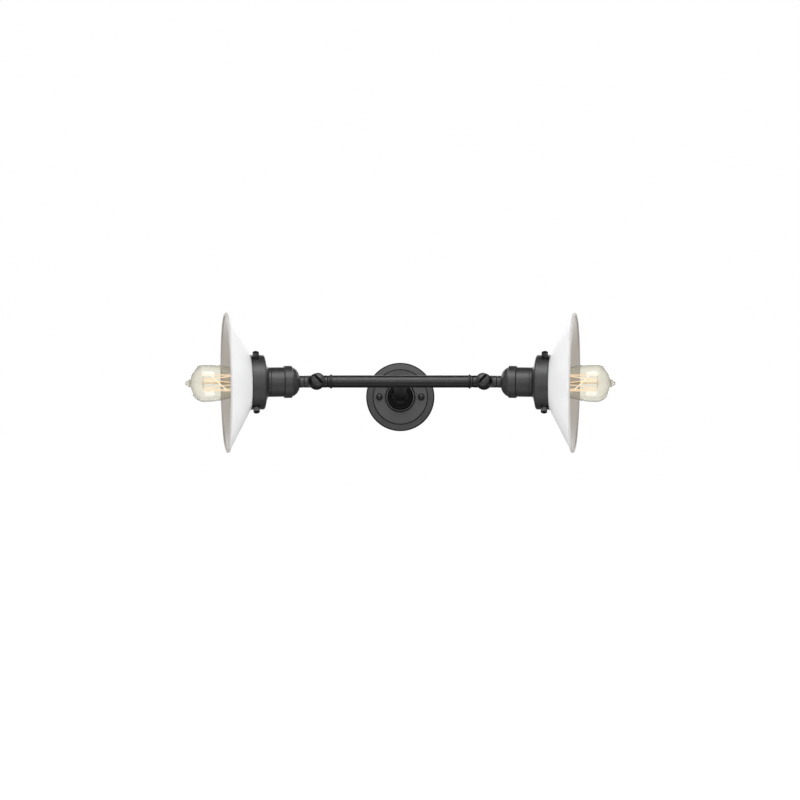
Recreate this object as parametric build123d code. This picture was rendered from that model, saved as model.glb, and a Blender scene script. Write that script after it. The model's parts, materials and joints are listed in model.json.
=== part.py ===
from build123d import *
import os
from math import asin, cos, degrees, radians, sin, sqrt, tan

# Two-light swivel vanity light, in millimetres.
# The origin is the centre of the wall plate's back, on the wall. X runs along the cross bar,
# -Y points into the room and Z is up. One side is built and the other is its mirror image.

# Clearances
SEAT_FIT = 0.1          # pieces of one body that slide into each other
RUN_FIT = 0.08          # swivel screw in the tongue it turns in
FACE_GAP = 0.1          # flat faces that rub in the swivel

# Wall plate
PLATE_DIAMETER = 114.3
PLATE_DEPTH = 16.5
PLATE_EDGE = 12.0       # straight edge at the wall
PLATE_ROUND = 3.5
PLATE_WALL = 1.6
STEP_DIAMETER = 90.0
STEP_DEPTH = 14.6
STEP_ROUND = 0.8
STEP_GROOVE = 1.4       # width of the groove at the step's foot
STEP_GROOVE_DEPTH = 0.8

# Mounting strap and plate screws
STRAP_GAP = 3.55         # strap's end to the plate's wall
STRAP_WIDTH = 20.0
STRAP_CORNER = 4.0
STRAP_GAUGE = 2.0
STRAP_WIRE_HOLE = 12.0
BOX_SLOT_INSET = 7.55    # slot's centre from the strap's end
BOX_SLOT_WIDTH = 4.6
BOX_SLOT_TRAVEL = 4.0
PLATE_SCREW_SPACING = 69.85
PLATE_SCREW_SHANK = 4.1
PLATE_SCREW_HEAD = 10.8
PLATE_SCREW_HEIGHT = 5.0
PLATE_SCREW_EDGE = 1.4
PLATE_SCREW_SLOT = 1.2
PLATE_SCREW_SLOT_DEPTH = 2.4
EARTH_SCREW_OFFSET = 18.0
EARTH_SCREW_SHANK = 3.4
EARTH_SCREW_HEAD = 7.0
EARTH_SCREW_HEIGHT = 3.0

# Hub, stem and cross bar
DOME_DIAMETER = 41.0
DOME_BASE = 1.5         # from the dome's flat base to its centre
COLLAR_WALL = 3.1
COLLAR_HEIGHT = 4.5
COLLAR_ROUND = 1.2
COLLAR_GAP = 0.3
COLLAR_GROOVE = 1.2     # in the plate, round the collar's foot
COLLAR_GROOVE_DEPTH = 0.7
NIPPLE_DIAMETER = 10.0
NIPPLE_BORE = 6.6
NIPPLE_GRIP = 5.0       # past the dome's centre
NIPPLE_SPARE = 3.0      # past the lock nut
HUB_NUT_ACROSS = 16.0
HUB_NUT_THICKNESS = 4.5
ARM_CANT = 11.0         # degrees, the stem rises towards the room
ARM_LENGTH = 130.0      # dome centre to bar axis
STEM_DIAMETER = 19.0
STEM_WALL = 1.5
STEM_SEAT = 9.0         # depth of the stem's seat in the dome
BAR_LENGTH = 219.2
BAR_DIAMETER = 20.0
BAR_WALL = 1.5
BRAZE_GAP = 0.1
LEAD_HOLE = 12.0

# Bar end coupling
BEAD_DIAMETER = 23.2
BEAD_WIDTH = 3.8
COUPLING_DIAMETER = 19.6
COUPLING_COLLAR = 3.2
COUPLING_SPIGOT = 12.0
EDGE_BREAK = 0.7

# Swivel
FORK_REACH = 17.9       # coupling face to swivel axis
FORK_SHANK_DIAMETER = 10.0
FORK_SHANK_LENGTH = 13.0
HEAD_YAW = 8.4          # degrees, the head is turned into the room
HEAD_DROOP = 2.5        # degrees, the head hangs below the bar's line
BALL_DIAMETER = 27.6
EAR_THICKNESS = 4.6
TONGUE_THICKNESS = 8.7
TONGUE_DIAMETER = 22.6
BLADE_HEIGHT = 18.0
THROAT_CLEARANCE = 0.5
SLOT_DEPTH = 9.8        # from the swivel axis to the bottom of the fork's slot
WASHER_THICKNESS = 0.4
WASHER_DIAMETER = 19.0
SWIVEL_SCREW_SHANK = 6.0
SWIVEL_SCREW_HEAD = 20.4
SWIVEL_SCREW_HEIGHT = 14.0
SWIVEL_SCREW_EDGE = 10.6
SWIVEL_SCREW_SLOT = 4.3
SWIVEL_SCREW_SLOT_DEPTH = 7.5
SWIVEL_SCREW_TURN = 45.0
HEAD_RELIEF = 0.3       # spot face round the screw's head
SWIVEL_NUT_ACROSS = 10.0
SWIVEL_NUT_THICKNESS = 5.0
SWIVEL_SCREW_SPARE = 1.0

# Neck, cap and shell; places along the head are measured from the swivel axis
NECK_GAP = 0.8          # fork's ball to the neck's face
NECK_LENGTH = 6.8
NECK_DIAMETER = 19.3
NECK_BREAK = 1.0
NECK_COLLAR_LENGTH = 6.8
NECK_NIPPLE_DIAMETER = 10.0
NECK_NIPPLE_BORE = 6.0
NECK_GROOVE = 0.8
CAP_DOME_LENGTH = 11.3
CAP_DOME_RADIUS = 18.2
CAP_RIM_WALL = 2.05     # round the shell
CAP_SHOULDER = 2.3      # from the cap's rim in to the end of its dome
CAP_STEP = 1.5
CAP_LENGTH = 25.0
CAP_WALL = 1.7
CAP_FLOOR = 2.7         # thickness under the lock nut
CAP_NUT_ACROSS = 16.0
CAP_NUT_THICKNESS = 4.0
CAP_NUT_SPARE = 2.0
SHELL_DIAMETER = 47.5
SHELL_WALL = 1.2
SHELL_GRIP = 9.7        # length inside the cap
SHELL_LENGTH = 35.2
SHELL_GROOVE = 0.6
SHELL_GROOVE_SETBACK = 3.6    # from the shell's end; a second groove lies at the cap's rim

# Lamp holder core
CORE_DIAMETER = 38.8
CORE_LENGTH = 37.0
CORE_REACH = 18.3       # past the shell's end
CORE_FLANGE = 6.0
CORE_FLOOR = 6.0
SCREW_SHELL_GAP = 0.4   # round the lamp's base
SCREW_SHELL_WALL = 0.9
SCREW_SHELL_SETBACK = 1.5
SCREW_SHELL_LIP = 16.0
CONTACT_DIAMETER = 10.0
CONTACT_GAUGE = 0.8
CONTACT_RIVET = 4.2
CONTACT_HEIGHT = 2.4

# Shade holder
HOLDER_DIAMETER = 87.6
HOLDER_WALL = 1.3
HOLDER_LENGTH = 28.15
HOLDER_HUB_DIAMETER = 46.8
HOLDER_STEP_DIAMETER = 54.4
HOLDER_STEP_LENGTH = 2.1
HOLDER_BACK_LENGTH = 6.2
HOLDER_CORNER = 3.2
HOLDER_FLARE = 0.7
HOLDER_FLARE_LENGTH = 1.6
HOLDER_BOSS_DIAMETER = 9.6
HOLDER_BOSS_HEIGHT = 1.8
RING_BOSS_DIAMETER = 43.4
RING_BOSS_LENGTH = 3.0
RING_DIAMETER = 54.0
RING_LENGTH = 7.0
RING_NOTCHES = 8
RING_NOTCH = 4.0
THUMBSCREW_SETBACK = 6.9
THUMBSCREW_ANGLES = (-60.0, 60.0, 180.0)    # round the head, from level
THUMBSCREW_SHANK = 4.0
THUMBSCREW_COLLAR = 6.4
THUMBSCREW_COLLAR_LENGTH = 1.5
THUMBSCREW_HEAD = 10.5
THUMBSCREW_HEAD_LENGTH = 7.8
THUMBSCREW_ROUND = 1.2
THUMBSCREW_FLUTES = 16
THUMBSCREW_FLUTE = 1.1
THUMBSCREW_STANDOFF = 0.3

# Glass shade
SHADE_DIAMETER = 224.6
SHADE_ANGLE = 28.2      # degrees between the cone and the rim plane
SHADE_GLASS = 3.2
SHADE_BEAD = 5.4
SHADE_MOUTH_GAP = 0.9
SHADE_TOP_GAP = 2.7     # lip to the holder's back
SHADE_FIT = 1.2         # lip to the holder's wall
SHADE_LIP = 2.4         # the bead that the thumbscrews hold, beyond the neck
SHADE_BEND = 5.0

# Lamp
LAMP_LENGTH = 144.0
LAMP_GAP = 0.1
LAMP_CONTACT_DIAMETER = 8.8
LAMP_CONTACT_HEIGHT = 0.8
LAMP_PIN = 3.8
LAMP_INSULATOR_DIAMETER = 19.0
LAMP_INSULATOR_HEIGHT = 2.7
LAMP_BASE_DIAMETER = 26.2
LAMP_BASE_LENGTH = 23.3
LAMP_BASE_WALL = 0.7
LAMP_BASE_HOLE = 16.0
BULB_DIAMETER = 60.6
BULB_GLASS = 0.9
BULB_GRIP = 6.0         # neck of the glass inside the base
BULB_NECK_FIT = 0.2
BULB_CROWN = 24.3       # widest place to the top of the crown
BULB_SHOULDER = (61.0, 19.8)    # distance before the widest place, and radius
BULB_WAIST = (28.0, 27.9)
TIP_DIAMETER = 15.0
TIP_LENGTH = 7.2
TIP_POINT = 2.4
TIP_CURVE = 0.4         # how far the tip's sides curve in
TIP_BLEND = 4.0
TIP_WALL = 1.3
TIP_SOLID = 3.0         # solid glass at the point

# Filament and its glass mount
WIRE = 1.2              # the coiled wire's outside
STRANDS = 10
STRAND_STEP = 33.0      # degrees from one strand's end to the next
FRONT_HOOKS_DIAMETER = 26.0
BACK_HOOKS_DIAMETER = 28.0
FRONT_HOOKS = 1.5       # past the bulb's widest place
BACK_HOOKS = 56.5       # before it
FLARE_LENGTH = 12.0
FLARE_EDGE = 1.0
PRESS_DIAMETER = 9.0
PRESS_LENGTH = 12.0
ROD_DIAMETER = 3.2
BUTTON_DIAMETER = 6.4
BUTTON_LENGTH = 4.0
HOOK_WIRE = 0.6
HOOK_GAP = 0.05

# Places worked out from the sizes
STRAP_LENGTH = PLATE_DIAMETER - 2 * (PLATE_WALL + STRAP_GAP)
BOX_SCREW_SPACING = STRAP_LENGTH - 2 * BOX_SLOT_INSET
HUB_DEPTH = PLATE_DEPTH + DOME_BASE
DOME_R = DOME_DIAMETER / 2
COLLAR_R = DOME_R + COLLAR_GAP + COLLAR_WALL
STEM_START = DOME_R - STEM_SEAT
COUPLING_START = BAR_LENGTH / 2
FORK_START = COUPLING_START + BEAD_WIDTH + COUPLING_COLLAR
SWIVEL_OFFSET = FORK_START + FORK_REACH
SLOT_HALF = TONGUE_THICKNESS / 2 + WASHER_THICKNESS + 2 * FACE_GAP
EAR_FACE = SLOT_HALF + EAR_THICKNESS
THROAT_R = TONGUE_DIAMETER / 2 + THROAT_CLEARANCE
NECK_START = BALL_DIAMETER / 2 + NECK_GAP
NECK_SPLIT = NECK_START + NECK_LENGTH
CAP_START = NECK_SPLIT + NECK_COLLAR_LENGTH
CAP_END = CAP_START + CAP_LENGTH
NUT_SEAT = CAP_START + CAP_FLOOR
SHELL_START = CAP_END - SHELL_GRIP
SHELL_END = SHELL_START + SHELL_LENGTH
CAP_R = SHELL_DIAMETER / 2 + SEAT_FIT + CAP_RIM_WALL
CORE_R = CORE_DIAMETER / 2
SCREW_SHELL_R = LAMP_BASE_DIAMETER / 2 + SCREW_SHELL_GAP
CORE_END = SHELL_END + CORE_REACH
CORE_START = CORE_END - CORE_LENGTH
SOCKET_FLOOR = CORE_START + CORE_FLOOR
LAMP_START = SOCKET_FLOOR + CONTACT_HEIGHT + LAMP_GAP
BASE_START = LAMP_START + LAMP_CONTACT_HEIGHT + LAMP_INSULATOR_HEIGHT
BASE_END = BASE_START + LAMP_BASE_LENGTH
LAMP_END = LAMP_START + LAMP_LENGTH
BELLY = LAMP_END - TIP_LENGTH - BULB_CROWN
HOLDER_R = HOLDER_DIAMETER / 2
HOLDER_MOUTH = SHELL_END + HOLDER_LENGTH
THUMBSCREW_PLACE = HOLDER_MOUTH - THUMBSCREW_SETBACK
SHADE_NECK_R = HOLDER_R - HOLDER_WALL - SHADE_FIT - SHADE_LIP

# Frames: local X runs from the wall, along the stem, along the bar, along the swivel screw
# towards the room, and from the swivel along the head
wall_line = Rot(0, 0, -90)
arm = Pos(0, -HUB_DEPTH, 0) * Rot(-ARM_CANT, 0, 0)
stem_line = arm * Rot(0, 0, -90)
bar_line = arm * Pos(0, -ARM_LENGTH, 0)
swivel = bar_line * Pos(SWIVEL_OFFSET, 0, 0) * Rot(0, 0, -HEAD_YAW)
screw_line = swivel * Rot(0, 0, -90)
head_line = swivel * Rot(0, HEAD_DROOP, 0)


def outline(*points):
    """Closed face through (along, radius) points."""
    return make_face(Polyline(*points, close=True))


def rounded(face, radius, *points):
    """The face with its corners nearest to the points rounded."""
    picked = [min(face.vertices(), key=lambda v: (v.center() - Vector(*p)).length) for p in points]
    return fillet(picked, radius)


def turned(face):
    """The solid that a half outline sweeps about the X axis."""
    return revolve(face, Axis.X)


def tube(start, end, outer, inner=0.0):
    """Round bar or tube along X, given by its radii."""
    return turned(outline((start, inner), (start, outer), (end, outer), (end, inner)))


def block(start, end, width, height):
    """Box along X, centred on it in Y and Z."""
    return Pos((start + end) / 2, 0, 0) * Box(end - start, width, height)


def hexagon(start, thickness, across, bore=0.0):
    """Hexagon bar along X, with a bore if one is given."""
    face = Plane.YZ * RegularPolygon(across / 2, 6, major_radius=False)
    bar = Pos(start, 0, 0) * extrude(face, thickness)
    return bar - tube(start, start + thickness, bore) if bore else bar


def domed(start, diameter, height, edge):
    """Screw head along X: a straight edge and a crowned outer face."""
    radius = diameter / 2
    rise = height - edge
    sphere = (radius ** 2 + rise ** 2) / (2 * rise)
    middle = start + height - sphere + sqrt(sphere ** 2 - (radius / 2) ** 2)
    sides = Polyline((start + height, 0), (start, 0), (start, radius), (start + edge, radius))
    crown = ThreePointArc((start + edge, radius), (middle, radius / 2), (start + height, 0))
    return turned(make_face(sides + crown))


def rod(start, end, diameter):
    """Round wire between two points."""
    start, end = Vector(*start), Vector(*end)
    wire = Cylinder(diameter / 2, (end - start).length, align=(Align.CENTER, Align.CENTER, Align.MIN))
    return Plane(origin=start, z_dir=end - start) * wire


def around(along, radius, angle):
    """Point at a distance from the X axis, at an angle round it."""
    return (along, radius * cos(radians(angle)), radius * sin(radians(angle)))


# Wall frame
def plate_outline(inset):
    radius = PLATE_DIAMETER / 2 - inset
    step = STEP_DIAMETER / 2 - inset
    edge = PLATE_EDGE - inset / 2
    front = PLATE_DEPTH - inset
    face = outline((0, 0), (0, radius), (edge, radius), (STEP_DEPTH - inset, step), (front, step),
                   (front, 0))
    return rounded(face, PLATE_ROUND - inset, (edge, radius))


def step_groove():
    foot = STEP_DIAMETER / 2
    bottom = STEP_DEPTH - STEP_GROOVE_DEPTH
    return turned(outline((PLATE_DEPTH, foot), (bottom, foot), (bottom, foot + STEP_GROOVE / 2),
                          (STEP_DEPTH, foot + STEP_GROOVE), (PLATE_DEPTH, foot + STEP_GROOVE)))


def plate_screw_places():
    return [Pos(0, side * PLATE_SCREW_SPACING / 2, 0) for side in (-1, 1)]


def wall_plate():
    face = rounded(plate_outline(0), STEP_ROUND, (PLATE_DEPTH, STEP_DIAMETER / 2))
    plate = turned(face) - turned(plate_outline(PLATE_WALL)) - step_groove()
    plate -= tube(PLATE_DEPTH - COLLAR_GROOVE_DEPTH, PLATE_DEPTH, COLLAR_R + COLLAR_GROOVE, COLLAR_R)
    plate -= tube(0, PLATE_DEPTH, NIPPLE_DIAMETER / 2 + SEAT_FIT)
    for place in plate_screw_places():
        plate -= place * tube(0, PLATE_DEPTH, PLATE_SCREW_SHANK / 2 + SEAT_FIT)
    return wall_line * plate


def mounting_strap():
    face = RectangleRounded(STRAP_LENGTH, STRAP_WIDTH, STRAP_CORNER)
    face -= Circle(STRAP_WIRE_HOLE / 2)
    face -= Pos(EARTH_SCREW_OFFSET, 0) * Circle(EARTH_SCREW_SHANK / 2 + SEAT_FIT)
    for side in (-1, 1):
        slot = SlotCenterToCenter(BOX_SLOT_TRAVEL, BOX_SLOT_WIDTH)
        face -= Pos(side * PLATE_SCREW_SPACING / 2, 0) * Circle(PLATE_SCREW_SHANK / 2 + SEAT_FIT)
        face -= Pos(side * BOX_SCREW_SPACING / 2, 0) * slot
    return extrude(Plane.XZ * face, STRAP_GAUGE)


def plate_screws():
    head = domed(PLATE_DEPTH, PLATE_SCREW_HEAD, PLATE_SCREW_HEIGHT, PLATE_SCREW_EDGE)
    top = PLATE_DEPTH + PLATE_SCREW_HEIGHT
    head -= block(top - PLATE_SCREW_SLOT_DEPTH, top, PLATE_SCREW_HEAD, PLATE_SCREW_SLOT)
    screw = head + tube(0, PLATE_DEPTH, PLATE_SCREW_SHANK / 2)
    return Part() + [wall_line * place * screw for place in plate_screw_places()]


def earth_screw():
    screw = tube(0, STRAP_GAUGE, EARTH_SCREW_SHANK / 2)
    screw += hexagon(STRAP_GAUGE, EARTH_SCREW_HEIGHT, EARTH_SCREW_HEAD)
    return wall_line * Pos(0, EARTH_SCREW_OFFSET, 0) * screw


def hub_collar():
    top = PLATE_DEPTH + COLLAR_HEIGHT
    inner = DOME_R + COLLAR_GAP
    face = outline((PLATE_DEPTH, inner), (PLATE_DEPTH, COLLAR_R), (top, COLLAR_R), (top, inner))
    return wall_line * turned(rounded(face, COLLAR_ROUND, (top, COLLAR_R), (top, inner)))


def hub_dome():
    dome = Pos(HUB_DEPTH, 0, 0) * Rot(0, 90, 0) * Sphere(DOME_R)
    dome -= tube(HUB_DEPTH - DOME_DIAMETER, PLATE_DEPTH, DOME_DIAMETER)
    dome -= tube(PLATE_DEPTH, HUB_DEPTH + NIPPLE_GRIP, NIPPLE_DIAMETER / 2 + SEAT_FIT)
    dome = wall_line * dome - stem_line * tube(0, STEM_START, STEM_DIAMETER / 2 - STEM_WALL)
    return dome - stem_line * tube(STEM_START, DOME_DIAMETER, STEM_DIAMETER / 2 + SEAT_FIT)


def hub_nut_seat():
    return PLATE_DEPTH - PLATE_WALL - HUB_NUT_THICKNESS


def hub_nipple():
    start = hub_nut_seat() - NIPPLE_SPARE
    return wall_line * tube(start, HUB_DEPTH + NIPPLE_GRIP, NIPPLE_DIAMETER / 2, NIPPLE_BORE / 2)


def hub_locknut():
    bore = NIPPLE_DIAMETER / 2 + SEAT_FIT
    return wall_line * hexagon(hub_nut_seat(), HUB_NUT_THICKNESS, HUB_NUT_ACROSS, bore)


def stem():
    pipe = stem_line * tube(STEM_START, ARM_LENGTH, STEM_DIAMETER / 2, STEM_DIAMETER / 2 - STEM_WALL)
    return pipe - bar_line * tube(-STEM_DIAMETER, STEM_DIAMETER, BAR_DIAMETER / 2 + BRAZE_GAP)


def cross_bar():
    pipe = tube(-BAR_LENGTH / 2, BAR_LENGTH / 2, BAR_DIAMETER / 2, BAR_DIAMETER / 2 - BAR_WALL)
    return bar_line * pipe - stem_line * tube(HUB_DEPTH, ARM_LENGTH, LEAD_HOLE / 2)


# Bar end and swivel, right side
def bar_coupling():
    bore = FORK_SHANK_DIAMETER / 2 + SEAT_FIT
    spigot = BAR_DIAMETER / 2 - BAR_WALL - SEAT_FIT
    radius = COUPLING_DIAMETER / 2
    tail = COUPLING_START - COUPLING_SPIGOT
    face = outline((tail, bore), (tail, spigot), (COUPLING_START, spigot), (COUPLING_START, radius),
                   (FORK_START - EDGE_BREAK, radius), (FORK_START, radius - EDGE_BREAK), (FORK_START, bore))
    bead_r = BEAD_WIDTH / 2
    face += Pos(COUPLING_START + bead_r, BEAD_DIAMETER / 2 - bead_r) * Circle(bead_r)
    return bar_line * turned(face)


def swivel_fork():
    radius = COUPLING_DIAMETER / 2
    ball_r = BALL_DIAMETER / 2
    barrel_end = SWIVEL_OFFSET - sqrt(ball_r ** 2 - radius ** 2) + EDGE_BREAK
    barrel = outline((FORK_START, 0), (FORK_START, radius - EDGE_BREAK), (FORK_START + EDGE_BREAK, radius),
                     (barrel_end, radius), (barrel_end, 0))
    flat_r = sqrt(ball_r ** 2 - EAR_FACE ** 2)
    flat_angle = degrees(asin(flat_r / ball_r))
    sides = Polyline((-EAR_FACE, flat_r), (-EAR_FACE, 0), (EAR_FACE, 0), (EAR_FACE, flat_r))
    ball = make_face(sides + CenterArc((0, 0), ball_r, flat_angle, 180 - 2 * flat_angle))
    fork = screw_line * turned(ball) + bar_line * turned(barrel)
    fork += bar_line * tube(FORK_START - FORK_SHANK_LENGTH, FORK_START, FORK_SHANK_DIAMETER / 2)
    fork -= swivel * block(-SLOT_DEPTH, BALL_DIAMETER, 2 * SLOT_HALF, 2 * BALL_DIAMETER)
    fork -= screw_line * tube(-SLOT_HALF, SLOT_HALF, THROAT_R)
    fork -= screw_line * tube(EAR_FACE, BALL_DIAMETER, SWIVEL_SCREW_HEAD / 2 + HEAD_RELIEF)
    return fork - screw_line * tube(-BALL_DIAMETER, BALL_DIAMETER, SWIVEL_SCREW_SHANK / 2 + RUN_FIT)


def swivel_screw():
    tail = -EAR_FACE - SWIVEL_NUT_THICKNESS - SWIVEL_SCREW_SPARE
    top = EAR_FACE + SWIVEL_SCREW_HEIGHT
    head = domed(EAR_FACE, SWIVEL_SCREW_HEAD, SWIVEL_SCREW_HEIGHT, SWIVEL_SCREW_EDGE)
    slot = block(top - SWIVEL_SCREW_SLOT_DEPTH, top, SWIVEL_SCREW_SLOT, 2 * SWIVEL_SCREW_HEAD)
    head -= Rot(-SWIVEL_SCREW_TURN, 0, 0) * slot
    return screw_line * (head + tube(tail, EAR_FACE, SWIVEL_SCREW_SHANK / 2))


def swivel_nut():
    bore = SWIVEL_SCREW_SHANK / 2 + SEAT_FIT
    start = -EAR_FACE - SWIVEL_NUT_THICKNESS
    return screw_line * hexagon(start, SWIVEL_NUT_THICKNESS, SWIVEL_NUT_ACROSS, bore)


def swivel_washers():
    near = TONGUE_THICKNESS / 2 + FACE_GAP
    bore = SWIVEL_SCREW_SHANK / 2 + SEAT_FIT
    washer = tube(near, near + WASHER_THICKNESS, WASHER_DIAMETER / 2, bore)
    return Part() + [screw_line * washer, screw_line * mirror(washer, about=Plane.YZ)]


# Head, right side
def swivel_tongue():
    radius = NECK_DIAMETER / 2
    nipple_r = NECK_NIPPLE_DIAMETER / 2
    tail = NUT_SEAT + CAP_NUT_THICKNESS + CAP_NUT_SPARE
    neck = outline((NECK_START, 0), (NECK_START, radius - NECK_BREAK), (NECK_START + NECK_BREAK, radius),
                   (NECK_SPLIT - NECK_GROOVE, radius), (NECK_SPLIT, radius - NECK_GROOVE),
                   (NECK_SPLIT, nipple_r), (tail, nipple_r), (tail, 0))
    tongue = Rot(90, 0, 0) * Cylinder(TONGUE_DIAMETER / 2, TONGUE_THICKNESS)
    tongue += block(0, NECK_START + NECK_BREAK, TONGUE_THICKNESS, BLADE_HEIGHT)
    tongue += turned(neck)
    tongue -= tube(NECK_START, tail, NECK_NIPPLE_BORE / 2)
    tongue -= Rot(90, 0, 0) * Cylinder(SWIVEL_SCREW_SHANK / 2 + RUN_FIT, BALL_DIAMETER)
    return tongue


def neck_collar():
    radius = NECK_DIAMETER / 2
    bore = NECK_NIPPLE_DIAMETER / 2 + SEAT_FIT
    return turned(outline((NECK_SPLIT, bore), (NECK_SPLIT, radius - NECK_GROOVE),
                          (NECK_SPLIT + NECK_GROOVE, radius), (CAP_START, radius), (CAP_START, bore)))


def socket_cap():
    shoulder = CAP_START + CAP_DOME_LENGTH
    shoulder_r = CAP_R - CAP_SHOULDER
    neck_r = NECK_DIAMETER / 2
    crown = RadiusArc((CAP_START, neck_r), (shoulder, shoulder_r), CAP_DOME_RADIUS)
    sides = Polyline((shoulder, shoulder_r), (shoulder + CAP_STEP, CAP_R), (CAP_END - EDGE_BREAK, CAP_R),
                     (CAP_END, CAP_R - EDGE_BREAK), (CAP_END, 0), (CAP_START, 0), (CAP_START, neck_r))
    cap = turned(make_face(crown + sides))
    floor_r = neck_r + CAP_FLOOR
    inner_r = shoulder_r - CAP_WALL
    room_r = SHELL_DIAMETER / 2 + SEAT_FIT
    inner_crown = RadiusArc((NUT_SEAT, floor_r), (shoulder, inner_r), CAP_DOME_RADIUS - CAP_WALL)
    hollow = Polyline((shoulder, inner_r), (SHELL_START, inner_r), (SHELL_START, room_r),
                      (CAP_END, room_r), (CAP_END, 0), (NUT_SEAT, 0), (NUT_SEAT, floor_r))
    cap -= turned(make_face(inner_crown + hollow))
    return cap - tube(CAP_START, NUT_SEAT, NECK_NIPPLE_DIAMETER / 2 + SEAT_FIT)


def cap_locknut():
    return hexagon(NUT_SEAT, CAP_NUT_THICKNESS, CAP_NUT_ACROSS, NECK_NIPPLE_DIAMETER / 2 + SEAT_FIT)


def socket_shell():
    radius = SHELL_DIAMETER / 2
    inner = radius - SHELL_WALL
    mouth = CORE_R + SEAT_FIT
    lip = SHELL_END - SHELL_WALL
    sides = [(SHELL_START, inner), (SHELL_START, radius)]
    for groove in (CAP_END, SHELL_END - SHELL_GROOVE_SETBACK):
        sides.append((groove - SHELL_GROOVE, radius))
        sides.append((groove, radius - SHELL_GROOVE))
        sides.append((groove + SHELL_GROOVE, radius))
    return turned(outline(*sides, (SHELL_END, radius), (SHELL_END, mouth), (lip, mouth), (lip, inner)))


def socket_core():
    flange_r = SHELL_DIAMETER / 2 - SHELL_WALL - SEAT_FIT
    flange_end = SHELL_END - SHELL_WALL
    bore = SCREW_SHELL_R + SCREW_SHELL_WALL + SEAT_FIT
    core = tube(CORE_START, CORE_END, CORE_R) + tube(flange_end - CORE_FLANGE, flange_end, flange_r)
    core -= tube(SOCKET_FLOOR, CORE_END, bore)
    return core - tube(CORE_START, SOCKET_FLOOR, CONTACT_RIVET / 2 + SEAT_FIT)


def screw_shell():
    outer = SCREW_SHELL_R + SCREW_SHELL_WALL
    end = CORE_END - SCREW_SHELL_SETBACK
    lip = SOCKET_FLOOR + SCREW_SHELL_WALL
    hole = SCREW_SHELL_LIP / 2
    return turned(outline((SOCKET_FLOOR, hole), (SOCKET_FLOOR, outer), (end, outer),
                          (end, SCREW_SHELL_R), (lip, SCREW_SHELL_R), (lip, hole)))


def centre_contact():
    contact = tube(CORE_START, SOCKET_FLOOR, CONTACT_RIVET / 2)
    return contact + domed(SOCKET_FLOOR, CONTACT_DIAMETER, CONTACT_HEIGHT, CONTACT_GAUGE)


def thumbscrew_places():
    outward = Rot(0, 0, -90)
    turns = [Rot(ARM_CANT + angle, 0, 0) for angle in THUMBSCREW_ANGLES]
    return [Pos(THUMBSCREW_PLACE, 0, 0) * turn * outward for turn in turns]


def shade_holder():
    hole = CORE_R + SEAT_FIT
    hub_r = HOLDER_HUB_DIAMETER / 2
    step_r = HOLDER_STEP_DIAMETER / 2
    step = SHELL_END + HOLDER_STEP_LENGTH
    back = SHELL_END + HOLDER_BACK_LENGTH
    flare = HOLDER_MOUTH - HOLDER_FLARE_LENGTH
    wall = HOLDER_WALL
    mouth_r = HOLDER_R + HOLDER_FLARE
    face = outline((SHELL_END, hole), (SHELL_END, hub_r), (step, step_r), (back, HOLDER_R),
                   (flare, HOLDER_R), (HOLDER_MOUTH, mouth_r), (HOLDER_MOUTH, mouth_r - wall),
                   (flare, HOLDER_R - wall), (back + wall, HOLDER_R - wall), (step + wall, step_r),
                   (SHELL_END + wall, hub_r), (SHELL_END + wall, hole))
    face = rounded(face, HOLDER_CORNER, (back, HOLDER_R))
    face = rounded(face, HOLDER_CORNER - wall, (back + wall, HOLDER_R - wall))
    cup = turned(face)
    for place in thumbscrew_places():
        cup += place * tube(HOLDER_R - wall / 2, HOLDER_R + HOLDER_BOSS_HEIGHT, HOLDER_BOSS_DIAMETER / 2)
        cup -= place * tube(0, HOLDER_DIAMETER, THUMBSCREW_SHANK / 2 + SEAT_FIT)
    return cup


def holder_ring():
    hole = CORE_R + SEAT_FIT
    start = SHELL_END + HOLDER_WALL
    ring = tube(start, start + RING_LENGTH, RING_BOSS_DIAMETER / 2, hole)
    ring += tube(start + RING_BOSS_LENGTH, start + RING_LENGTH, RING_DIAMETER / 2, hole)
    for number in range(RING_NOTCHES):
        notch = block(start, start + RING_LENGTH, RING_NOTCH, RING_NOTCH)
        ring -= Rot(number * 360 / RING_NOTCHES, 0, 0) * Pos(0, RING_DIAMETER / 2, 0) * notch
    return ring


def thumbscrews():
    collar = HOLDER_R + HOLDER_BOSS_HEIGHT + THUMBSCREW_STANDOFF
    head = collar + THUMBSCREW_COLLAR_LENGTH
    top = head + THUMBSCREW_HEAD_LENGTH
    radius = THUMBSCREW_HEAD / 2
    grip = outline((head, 0), (head, radius), (top, radius), (top, 0))
    flutes = Circle(radius)
    for turn in PolarLocations(radius, THUMBSCREW_FLUTES):
        flutes -= turn * Circle(THUMBSCREW_FLUTE / 2)
    screw = turned(rounded(grip, THUMBSCREW_ROUND, (head, radius), (top, radius)))
    screw &= Pos(head, 0, 0) * extrude(Plane.YZ * flutes, THUMBSCREW_HEAD_LENGTH)
    screw += tube(SHADE_NECK_R + SEAT_FIT, head, THUMBSCREW_SHANK / 2)
    screw += tube(collar, head, THUMBSCREW_COLLAR / 2)
    return Part() + [place * screw for place in thumbscrew_places()]


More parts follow.
